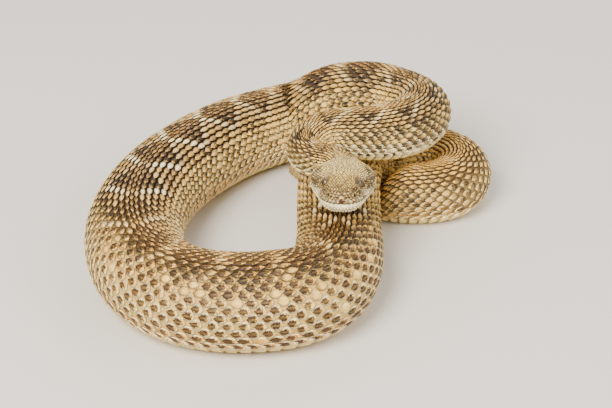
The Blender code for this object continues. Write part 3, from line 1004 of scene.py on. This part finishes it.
def make_body_scales(material):
    """Keeled scales in rows along the whole body, narrow on the back and round on the flanks."""
    template = scale_template(5, 4)
    places, turns, rows = lattice(BODY_SCALES_FROM, BODY_SCALES_TO)
    order = np.argsort(places, kind="stable")
    places, turns, rows = places[order], turns[order], rows[order]
    count = len(places)
    places = places + (chance.random(count) - 0.5) * 0.06 * pitch_at(places)
    _, _, _, width, _ = route.frames(places)
    pitch = pitch_at(places)
    low = np.abs(rows) / SCALE_ROWS
    front = on_front(places)
    spaced = (0.3 + 0.7 * front) * smooth(0.22 - 0.16 * front, 0.5 - 0.2 * front, low) * smooth(1.0, 0.8, low)
    half_length = pitch * (0.78 - 0.2 * spaced)
    half_width = width / 2 * row_gap(rows) * (0.56 + 0.08 * low + 0.02 * spaced)
    half_width *= 1 + 0.1 * (chance.random(count) - 0.5)
    size = scale_size(pitch)
    pointed = np.clip(0.8 - 0.9 * low - 0.3 * spaced, -0.2, 0.8)
    keel = size * (0.5 - 0.25 * spaced) * (1 - smooth(0.75, 1.0, low))
    shape = (pointed, keel, size * 0.3, size * 0.34)
    rise = (-0.62 * size - 0.05, (0.26 - 0.2 * spaced) * size)
    pale = 0.15 + 0.65 * smooth(0.35, 0.7, low)
    for k in range(BODY_PIECES):
        part = slice(count * k // BODY_PIECES, count * (k + 1) // BODY_PIECES)
        lay_scales(f"scales_{k + 1}", template, places[part], turns[part], half_length[part],
                   half_width[part], [values[part] for values in shape], [values[part] for values in rise],
                   material, pale_rim=pale[part])


def make_belly_scales(material):
    """One wide smooth plate across the belly for each row."""
    first = math.ceil(row_number(BODY_SCALES_FROM + 1))
    last = math.floor(row_number(BODY_SCALES_TO))
    places = row_place(np.arange(first, last + 1))
    pitch = pitch_at(places)
    size = scale_size(pitch)
    _, _, _, width, _ = route.frames(places)
    half_width = width / 2 * (math.pi - LOWEST_ROW_TURN + 0.06)
    lay_scales("belly_scales", scale_template(4, 12), places, np.full(len(places), math.pi), pitch * 0.74,
               half_width, (-0.6, 0.0, 0.05 * size, 0.3 * size), (-0.5 * size, 0.15 * size), material,
               pale_rim=0.35, painted_by_point=True)


def head_lattice(start, end, spacing):
    """Rings of small scales over the head, evenly spaced round it from the crown."""
    places = []
    turns = []
    even = np.linspace(-math.pi, math.pi, 721)
    for k, at in enumerate(np.arange(start, end, spacing * 0.86)):
        ring = skin_point(np.full(len(even), at), even)
        travelled = np.concatenate([[0], np.cumsum(np.linalg.norm(np.diff(ring, axis=0), axis=1))])
        steps = np.arange(-80, 81) + 0.5 * (k % 2)
        wanted = travelled[len(even) // 2] + steps * spacing
        wanted = wanted[(wanted > 0.4) & (wanted < travelled[-1] - 0.4)]
        places.append(np.full(len(wanted), at))
        turns.append(np.interp(wanted, travelled, even))
    return np.concatenate(places), np.concatenate(turns)


def clear_of_features(at, turn, margin):
    """True for places on the head that no eye, nostril, pit, lip or shield takes."""
    across, up = head_outline(at, turn)
    free = (from_eye(at, up) > EYE_RADIUS + margin) | (np.abs(across) < 5)
    for dent in (NOSTRIL, HEAT_PIT):
        free &= from_dent(dent, at, across, up) > dent[3] + margin
    along, round_it = BROW_CLEARING
    free &= np.hypot((at - BROW_BEHIND_SNOUT) / along, (np.abs(turn) - BROW_TURN) / round_it) > 1
    free &= (np.abs(up - mouth_height(at)) > 2.6) | (at > MOUTH_END)
    return free


def make_head_scales(material):
    """Small grainy scales over the crown, cheeks and throat."""
    at, turn = head_lattice(3.0, 44.0, 1.55)
    free = clear_of_features(at, turn, 0.5)
    at, turn = at[free], turn[free]
    count = len(at)
    at = at + (chance.random(count) - 0.5) * 0.5
    turn = turn + (chance.random(count) - 0.5) * 0.04
    size = 1 + 0.35 * (chance.random(count) - 0.5)
    lay_scales("head_scales", scale_template(4, 4), at, turn, 0.82 * size, 0.68 * size,
               (0.25, 0.16 * size, 0.34 * size, 0.2 * size), (-0.42, 0.0), material)


def turn_at(at, up_wanted):
    """The turn from the crown at which the head's side reaches a height over its mid-line."""
    sizes = head_sizes(at)
    target = np.array(up_wanted, float)
    for _ in range(6):
        turn = plain_turn(sizes, target)
        _, up = head_outline(at, turn)
        target = target + 0.7 * (up_wanted - up)
    return turn


def lip_curve():
    """Distances round the lip from the middle of the snout, and the place behind the snout of each."""
    at = np.concatenate([np.linspace(0.02, 1, 60), np.linspace(1.05, MOUTH_END + 2, 240)])
    line = skin_point(at, turn_at(at, mouth_height(at)))
    first = np.abs(head_outline(at[:1], turn_at(at[:1], mouth_height(at[:1])))[0][0])
    steps = np.linalg.norm(np.diff(line, axis=0), axis=1)
    return first + np.concatenate([[0.0], np.cumsum(steps)]), at


def lip_surface(round_lip, drop):
    """The face by distance round the lip, left side positive, and by the drop under the mouth's line."""
    at = np.interp(np.abs(round_lip), lip_table[0], lip_table[1])
    turn = turn_at(at, mouth_height(at) - drop)
    return skin_point(at, turn * np.sign(round_lip))


def front_surface(up, across):
    """The blunt front of the snout, by height over the mid-line and distance to the left of the middle."""
    low = np.full(len(up), 0.02)
    high = np.full(len(up), 14.0)
    for _ in range(24):
        at = (low + high) / 2
        half, crown, jaw, square, lean = head_sizes(at)
        reach = np.where(up > 0, crown, jaw)
        side = half * (1 - lean * np.maximum(up, 0) / crown)
        inside = (np.abs(across) / side) ** square + (np.abs(up) / reach) ** square < 1
        high = np.where(inside, at, high)
        low = np.where(inside, low, at)
    middle, sideways, upward, _, _ = route.frames((low + high) / 2)
    return middle + sideways * across[:, None] + upward * up[:, None]


def front_place(up, across):
    """How far behind the snout the front surface lies there."""
    point = front_surface(up, across)
    middle, sideways, upward, _, _ = route.frames(np.array([0.02]))
    back = np.cross(upward, sideways)[0]
    return (point - middle[0]) @ back


def plates(name, template, first, second, half_length, half_width, shape, rise, material, surface, colour,
           spot_strength=0.2, tilt=0.0, pale_rim=0.25):
    """Lays head plates that have one colour of their own."""
    count = len(first)
    luck = chance.random(count)
    ground = mixed(colour, "tan", 0.35 * luck)
    looks = (ground, mixed("brown", "dark", 0.3 * luck), spot_strength * (0.5 + luck), np.full(count, 0.6))
    lay_scales(name, template, first, second, half_length, half_width, shape, rise, material,
               surface=surface, looks=looks, tilt=tilt, pale_rim=pale_rim)


def make_lips(material):
    """The rows of lip scales above and below the mouth, from the middle of the snout to its corner."""
    template = scale_template(4, 4)
    for name, colour, share, spotted, drop, first in LIP_ROWS:
        spots = first + LIP_STEP * np.arange(int((lip_table[0][-1] - LIP_BARE_END - first) / LIP_STEP))
        round_lip = np.concatenate([-spots, spots])
        at = np.interp(np.abs(round_lip), lip_table[0], lip_table[1])
        turn = turn_at(at, mouth_height(at) - drop) * np.sign(round_lip)
        ground, spot, strength, sides = head_colours(at, turn)
        looks = (mixed(ground, colour, share), spot, strength * spotted, 0.2 * sides)
        lay_scales(name, template, round_lip, np.full(len(at), drop), LIP_STEP * 0.6, LIP_HALF_HEIGHT,
                   (-2.4, 0.0, 0.12, 0.4), (-0.16, -0.02), material, surface=lip_surface,
                   looks=looks, pale_rim=0.3)


def front_grid(heights, reach, spacing):
    """Rows of places on the blunt front of the snout, every other row half a step on."""
    steps = np.arange(-reach, reach + 1)
    up = np.repeat(heights, len(steps))
    across = np.concatenate([(steps + 0.5 * (k % 2)) * spacing for k in range(len(heights))])
    near = front_place(up, across) < FRONT_DEPTH
    return up[near], across[near]


def make_snout_plates(material):
    """The tall plate over the middle of the mouth, and the small plates round it and above the nostrils."""
    plates("snout_plate", scale_template(6, 6), np.array([2.75]), np.array([0.0]), 2.6, 1.75,
           (-0.8, 0.0, 0.35, 0.5), (-0.05, 0.0), material, front_surface, "rostral", 0.5)
    up, across = front_grid(np.arange(2.9, 9.0, 1.5), 7, 1.75)
    free = np.hypot(np.abs(across) - NOSTRIL[1], up - NOSTRIL[2]) > NOSTRIL[3] + 0.7
    free &= (np.abs(across) > 2.2) | (up > 5.7)
    plates("snout_scales", scale_template(4, 4), up[free], across[free], 0.98, 0.92,
           (-0.3, 0.1, 0.25, 0.25), (-0.3, 0.05), material, front_surface, "shield", 0.55)
    up, across = front_grid(np.arange(-3.2, -6.0, -1.4), 5, 1.8)
    plates("chin_scales", scale_template(4, 4), up, across, 0.95, 1.0,
           (-0.3, 0.0, 0.25, 0.25), (-0.3, 0.0), material, front_surface, "white", 0.05)


def make_brows(material):
    """The large shield over each eye, its outer edge standing out as a ridge."""
    side = np.array([-1.0, 1.0])
    plates("brow_shields", scale_template(12, 10), np.full(2, BROW_BEHIND_SNOUT), side * BROW_TURN,
           BROW_HALF_LENGTH, BROW_HALF_WIDTH, (-0.1, 0.0, 0.25, 0.7), (-0.1, 0.1), material, skin_point,
           "shield", 0.3, tilt=side * 0.4, pale_rim=0.5)


def make_rings(material):
    """The small scales that frame each eye under its brow, each heat pit and each nostril."""
    rings = [("eye_rings", EYE_BEHIND_SNOUT, EYE_UP, EYE_RADIUS + 0.35, 18, 0.62),
             ("pit_rings", HEAT_PIT[0], HEAT_PIT[2], HEAT_PIT[3] + 0.6, 9, 0.72),
             ("nostril_rings", NOSTRIL[0], NOSTRIL[2], NOSTRIL[3] + 0.55, 7, 0.66)]
    for name, behind, high, radius, number, half in rings:
        angle = np.arange(number) * 2 * math.pi / number
        at = behind + radius * np.cos(angle)
        up = high + radius * np.sin(angle)
        kept = (up < EYE_UP + 2.2) & (at > 0.3)
        at, up = at[kept], up[kept]
        turn = turn_at(at, up)
        plates(name, scale_template(4, 4), np.tile(at, 2), np.concatenate([turn, -turn]), half, half,
               (-0.3, 0.0, 0.3, 0.5), (0.05, 0.05), material, skin_point, "shield", 0.3)


def make_eyes(material):
    """Glossy balls under the brows, each with an upright pupil."""
    middle, sideways, up = [rows[0] for rows in route.frames(np.array([EYE_BEHIND_SNOUT]))[:3]]
    forward = np.cross(sideways, up)
    for name, side in (("eye_left", 1), ("eye_right", -1)):
        ball = bmesh.new()
        bmesh.ops.create_uvsphere(ball, u_segments=48, v_segments=32, radius=EYE_RADIUS * MM)
        mesh = made_mesh(ball, name)
        out = sideways * side
        look = forward * math.cos(EYE_LOOK) + out * math.sin(EYE_LOOK)
        centre = middle + out * EYE_OUT + up * EYE_UP
        places = points_of(mesh)
        unit = places / (EYE_RADIUS * MM)
        facing = unit @ look
        local = np.column_stack([unit @ np.cross(look, up), unit @ up, facing])
        local[facing < 0] = (1, 1, 0)
        store(mesh, "look", local)
        mesh.vertices.foreach_set("co", (places + centre * MM).ravel())
        eye = linked("clear_" + name, mesh, material)
        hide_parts(name)


def make_rattle(material):
    """Loose horny segments, each with a rim, a bulge and a groove along both sides."""
    start = route.named["tail end"] + 0.15
    segment = (route.length - start) / RATTLE_SEGMENTS
    at = [start + (k + share) * segment for k in range(RATTLE_SEGMENTS) for share, _ in RATTLE_PROFILE]
    at.append(route.length)
    girth = [size for _, size in RATTLE_PROFILE] * RATTLE_SEGMENTS + [RATTLE_TIP]
    mesh, column, row = sheet_mesh("rattle", 40, len(at) - 1)
    spots = np.linspace(0, 1, len(at))
    place = np.interp(row, spots, at)
    size = np.interp(row, spots, girth) * (1 - RATTLE_TAPER * (place - start) / (route.length - start))
    middle, side, up, width, height = route.frames(place)
    turn = column * 2 * math.pi
    groove = 1 - 0.16 * bump(np.cos(turn), 0.3)
    across = np.sin(turn) * groove * size * width / 2
    points = middle + side * across[:, None] + up * (np.cos(turn) * size * height / 2)[:, None]
    points[:, 2] = np.maximum(points[:, 2], 0.0)
    mesh.vertices.foreach_set("co", (points * MM).ravel())
    closed(mesh)
    piece = linked("rattle_segments", mesh, material)
    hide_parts("rattle")


def make_floor():
    """A plain pale floor under soft light."""
    sheet = bmesh.new()
    bmesh.ops.create_grid(sheet, x_segments=1, y_segments=1, size=FLOOR_HALF_SIDE)
    mesh = made_mesh(sheet, "floor")
    floor = in_scene("floor", mesh)
    finish = Finish("pale floor", 0.9)
    finish.put("Base Color", FLOOR_COLOUR)
    mesh.materials.append(finish.material)


def make_lights():
    """A large soft lamp above and to the left, weaker ones to the right and behind, and a pale sky."""
    for name, place, power, size in LAMPS:
        lamp = bpy.data.lights.new(name, "AREA")
        lamp.energy = power
        lamp.color = LAMP_COLOUR
        lamp.size = size
        stand = in_scene(name, lamp)
        stand.location = place
        stand.rotation_euler = (-Vector(place)).to_track_quat("-Z", "Y").to_euler()
    world = bpy.data.worlds.new("pale sky")
    world.use_nodes = True
    sky = world.node_tree.nodes["Background"].inputs
    sky["Color"].default_value = SKY_COLOUR
    sky["Strength"].default_value = SKY_STRENGTH
    bpy.context.scene.world = world


def make_camera():
    """Looks down at the coil from in front, as a person crouching would."""
    lens = bpy.data.cameras.new("camera")
    lens.lens = CAMERA_LENS
    lens.sensor_width = CAMERA_SENSOR
    camera = in_scene("camera", lens)
    camera.location = CAMERA_PLACE
    camera.rotation_euler = (Vector(CAMERA_AIM) - camera.location).to_track_quat("-Z", "Y").to_euler()
    bpy.context.scene.camera = camera


route = Route()
row_table = row_counts()
lip_table = lip_curve()
make_camera()
make_lights()
make_floor()
scales = scale_material()
make_skin(skin_material())
make_body_scales(scales)
make_belly_scales(scales)
make_head_scales(scales)
make_lips(scales)
make_snout_plates(scales)
make_brows(scales)
make_rings(scales)
make_eyes(eye_material())
make_rattle(horn_material())

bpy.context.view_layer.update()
